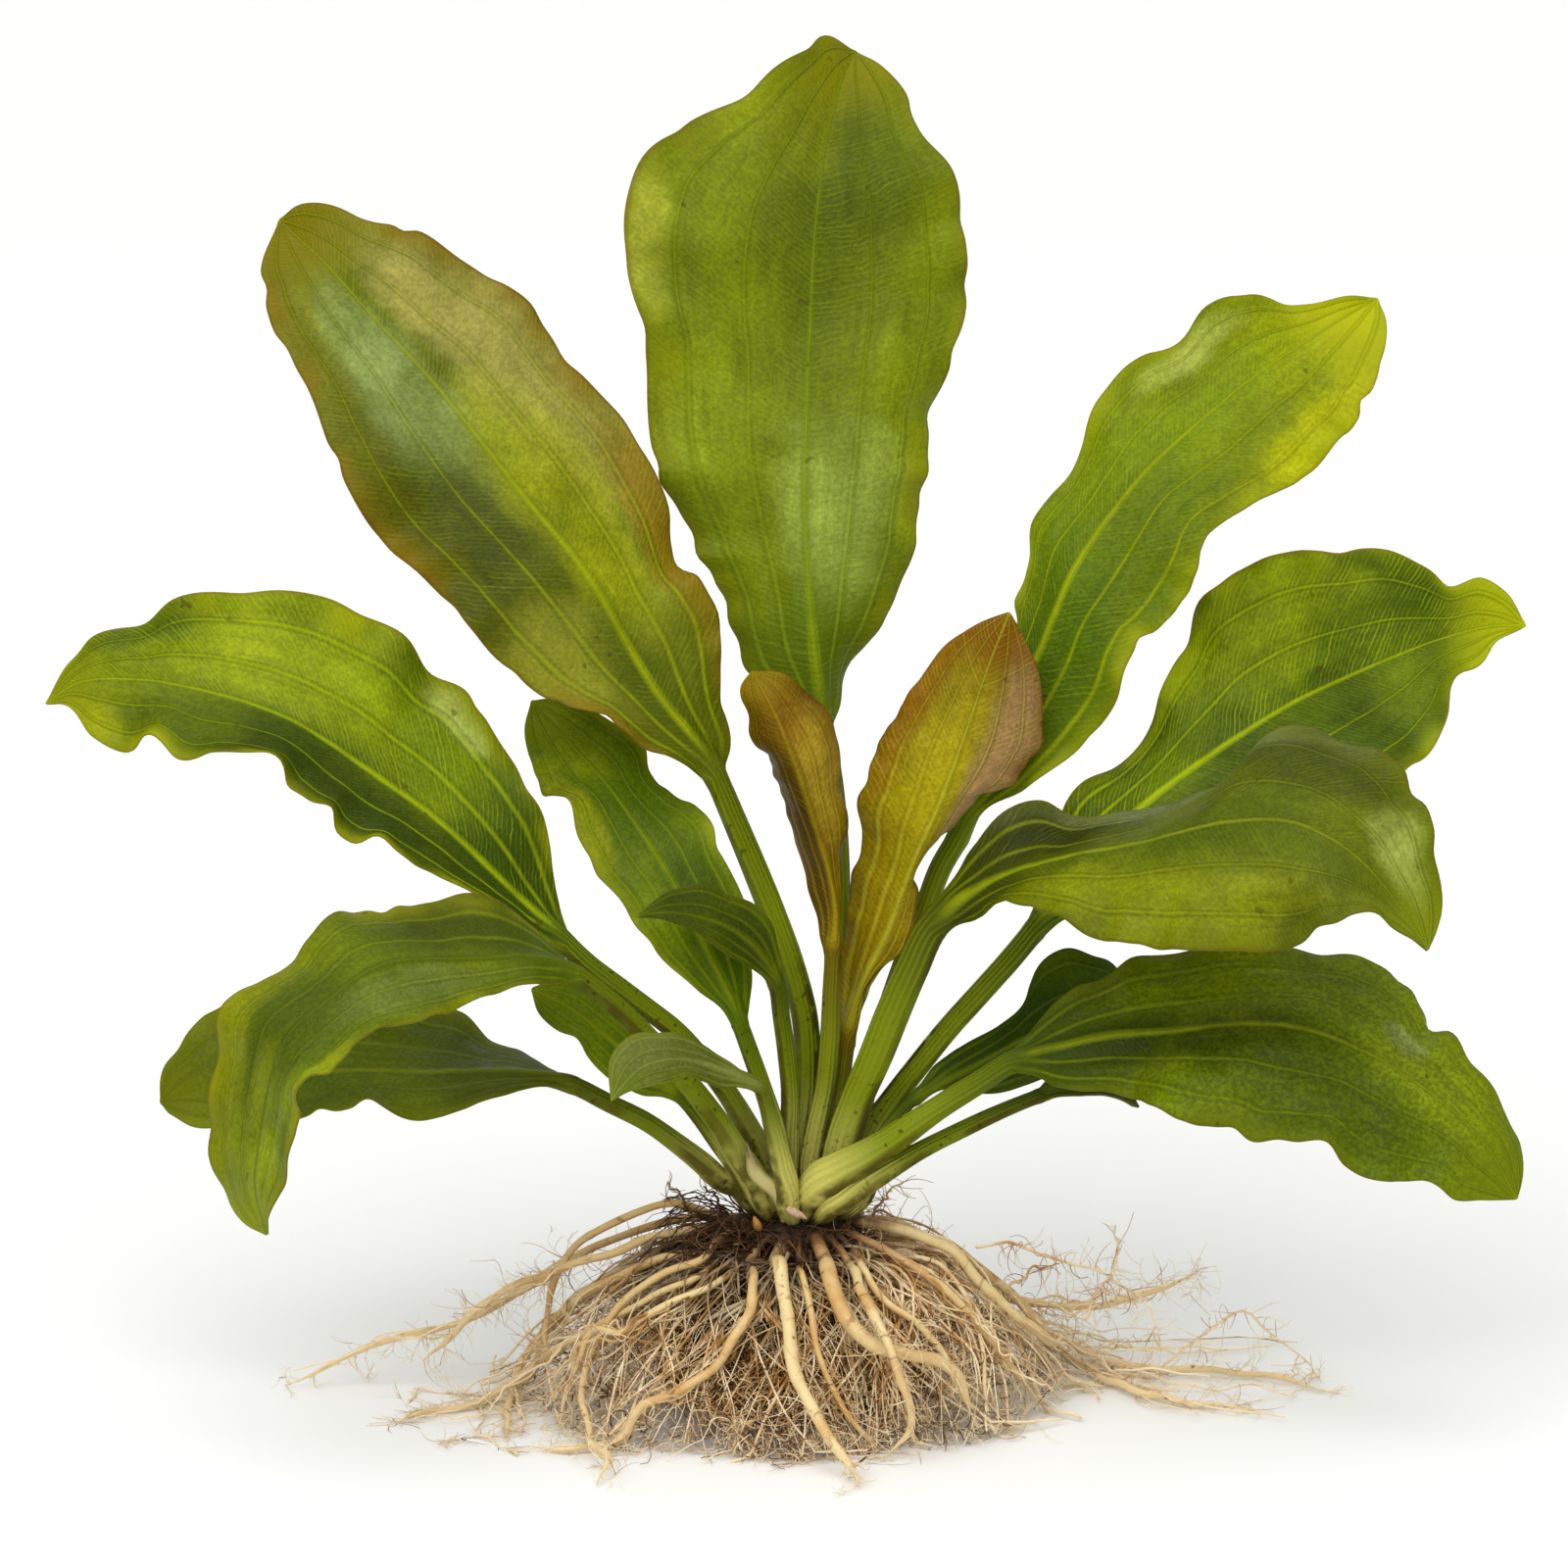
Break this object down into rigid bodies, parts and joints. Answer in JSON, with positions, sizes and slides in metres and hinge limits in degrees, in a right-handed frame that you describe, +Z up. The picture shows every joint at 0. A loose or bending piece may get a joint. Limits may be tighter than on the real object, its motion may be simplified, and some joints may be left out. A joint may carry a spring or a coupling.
{
  "type": "amazon sword plant",
  "caption": "Bare-root rosette plant with long-stalked sword-shaped leaves rising and arching from a short crown, standing on a spreading mass of pale roots.",
  "frame": {"origin": "on the surface that the plant stands on, under the crown, on the flat underside of the root mass", "axes": "+Z up, +X to the right as the picture shows the plant, +Y away from the viewer"},
  "size_m": [0.3023, 0.1496, 0.2714],
  "materials": {
    "green_leaf": "satin living leaf, waxy and slightly wet",
    "yellow_green_leaf": "satin living leaf, waxy, yellow towards the margins",
    "bronze_leaf": "satin living leaf with bronze margins",
    "young_red_leaf": "satin young leaf, red-brown with yellow-green veins",
    "dark_green_leaf": "satin living leaf with a soft grey sheen",
    "grey_green_leaf": "satin living leaf, greyed by a soft sheen",
    "dead_sheath": "dry papery leaf base",
    "crown_bark": "rough dark rootstock with soil in its creases",
    "fine_root": "matted fibrous roots, matte",
    "thick_root": "smooth fleshy roots, slightly glossy"
  },
  "bodies": {
    "root": {"leaf_tall_back": "green_leaf", "leaf_upper_left": "bronze_leaf", "leaf_upper_right": "yellow_green_leaf", "leaf_young_left": "young_red_leaf", "leaf_young_right": "young_red_leaf", "leaf_arching_left": "green_leaf", "leaf_front_left": "dark_green_leaf", "leaf_low_left": "dark_green_leaf", "leaf_inner_left": "green_leaf", "leaf_small_inner": "dark_green_leaf", "leaf_small_front": "grey_green_leaf", "leaf_small_left": "green_leaf", "leaf_arching_right": "yellow_green_leaf", "leaf_front_right": "dark_green_leaf", "leaf_low_right": "dark_green_leaf", "leaf_small_right": "green_leaf", "leaf_under_right": "green_leaf", "old_sheath": "dead_sheath", "crown": "crown_bark", "fine_roots": "fine_root", "root_front_long": "thick_root", "root_front_right": "thick_root", "root_front_branch": "thick_root", "root_front_pale": "thick_root", "root_front_left": "thick_root", "root_left_flat": "thick_root", "root_left_hooked": "thick_root", "root_left_thick": "thick_root", "root_left_low": "thick_root", "root_left_high": "thick_root", "root_left_knobbed": "thick_root", "root_left_longest": "thick_root", "root_right_inner": "thick_root", "root_right_bow": "thick_root", "root_right_thick": "thick_root", "root_right_longest": "thick_root", "root_right_raised": "thick_root", "root_back_right": "thick_root", "root_back_middle": "thick_root", "root_back_left": "thick_root"}
  },
  "joints": []
}
